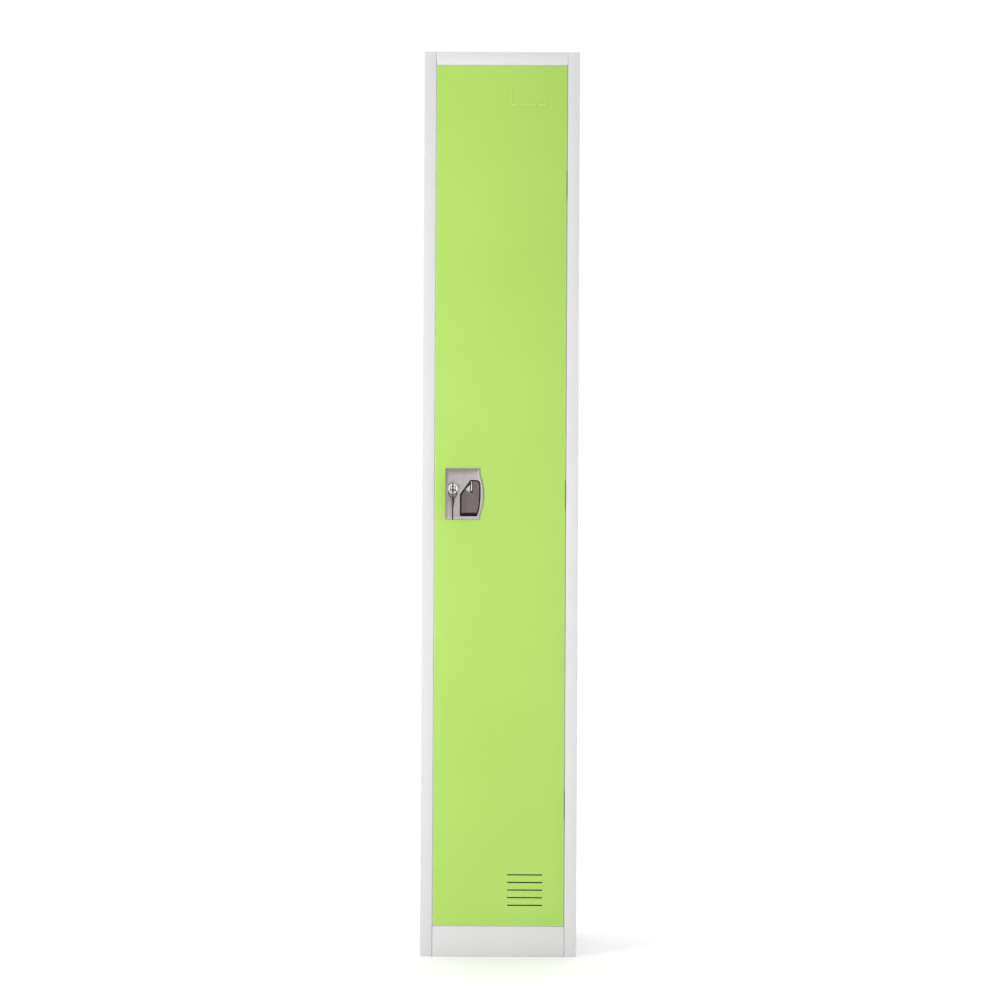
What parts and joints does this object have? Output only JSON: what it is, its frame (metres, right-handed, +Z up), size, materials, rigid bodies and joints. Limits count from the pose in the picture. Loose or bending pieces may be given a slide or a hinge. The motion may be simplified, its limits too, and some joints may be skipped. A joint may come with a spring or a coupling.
{
  "type": "school locker",
  "caption": "Tall single-door sheet steel locker with shelf, coat rod and hooks, three hinges, lift latch with padlock staple, and a cam lock with its keys.",
  "frame": {"origin": "middle of the box's base, on the floor; the box includes the key and the spare key in front", "axes": "+Z up, -Y out of the door, +X towards the hinges, on the right of someone facing the door"},
  "size_m": [0.31, 0.3413, 1.8],
  "materials": {
    "grey_paint": "pale grey powder coat, satin",
    "green_paint": "lime green powder coat, satin",
    "zinc_plate": "bright zinc plate",
    "satin_nickel": "satin nickel",
    "gunmetal": "dark nickel, satin",
    "chrome": "bright chrome",
    "rubber": "moulded black rubber"
  },
  "bodies": {
    "cabinet": {"front_post_left": "grey_paint", "front_post_right": "grey_paint", "side_panel_left": "grey_paint", "side_panel_right": "grey_paint", "back_panel": "grey_paint", "top_panel": "grey_paint", "top_rail": "grey_paint", "plinth": "grey_paint", "floor_panel": "grey_paint", "hat_shelf": "grey_paint", "shelf_clip_left_front": "zinc_plate", "shelf_clip_left_back": "zinc_plate", "shelf_clip_right_front": "zinc_plate", "shelf_clip_right_back": "zinc_plate", "coat_rod": "zinc_plate", "rod_socket_left": "zinc_plate", "rod_socket_right": "zinc_plate", "coat_hook_left": "zinc_plate", "coat_hook_right": "zinc_plate", "strike_plate": "zinc_plate", "hinge_frame_leaf_lower": "zinc_plate", "hinge_frame_leaf_middle": "zinc_plate", "hinge_frame_leaf_upper": "zinc_plate", "door_bumper_lower": "rubber", "door_bumper_upper": "rubber"},
    "door": {"door_panel": "green_paint", "door_stiffener": "green_paint", "card_holder_left": "green_paint", "card_holder_bottom": "green_paint", "card_holder_right": "green_paint", "hinge_door_leaf_lower": "zinc_plate", "hinge_door_leaf_middle": "zinc_plate", "hinge_door_leaf_upper": "zinc_plate", "hinge_pin_lower": "zinc_plate", "hinge_pin_middle": "zinc_plate", "hinge_pin_upper": "zinc_plate", "lock_housing": "satin_nickel", "housing_screw_upper": "zinc_plate", "housing_screw_lower": "zinc_plate", "padlock_staple": "chrome", "lever_pin": "zinc_plate", "lever_spring": "zinc_plate", "latch_guide": "zinc_plate", "lock_barrel": "chrome", "lock_nut": "zinc_plate"},
    "lever": {"lift_lever": "gunmetal", "lever_rivet": "satin_nickel"},
    "latch": {"latch_bolt": "zinc_plate"},
    "plug": {"lock_plug": "chrome", "lock_cam": "zinc_plate", "cam_screw": "zinc_plate"},
    "key": {"lock_key": "gunmetal"},
    "ring": {"key_ring": "chrome"},
    "spare": {"spare_key": "gunmetal"}
  },
  "joints": [
    {"name": "door_swing", "type": "hinge", "parent": "cabinet", "child": "door", "pos_m": [0.1218, -0.12935, 0.917], "axis": [0, 0, 1], "range_deg": [0, 110]},
    {"name": "lever_lift", "type": "hinge", "parent": "door", "child": "lever", "pos_m": [-0.0562, -0.13115, 0.935], "axis": [-1, 0, 0], "range_deg": [0, 30], "stiffness_Nm_per_rad": 0.15, "springref_deg": -17.19},
    {"name": "latch_slide", "type": "slide", "parent": "door", "child": "latch", "axis": [1, 0, 0], "range_m": [0, 0.0071]},
    {"name": "plug_turn", "type": "hinge", "parent": "door", "child": "plug", "pos_m": [-0.094, -0.14015, 0.9287], "axis": [0, 1, 0], "range_deg": [0, 90]},
    {"name": "key_withdraw", "type": "slide", "parent": "plug", "child": "key", "axis": [0, -1, 0], "range_m": [0, 0.026]},
    {"name": "ring_swing", "type": "hinge", "parent": "key", "child": "ring", "pos_m": [-0.094, -0.15965, 0.9268], "axis": [-1, 0, 0], "range_deg": [-3, 60]},
    {"name": "spare_key_swing", "type": "hinge", "parent": "ring", "child": "spare", "pos_m": [-0.094, -0.15965, 0.9104], "axis": [-1, 0, 0], "range_deg": [-5, 45]}
  ],
  "couplings": [
    {"joint": "latch_slide", "follows": "lever_lift", "m_per_rad": 0.013369}
  ]
}
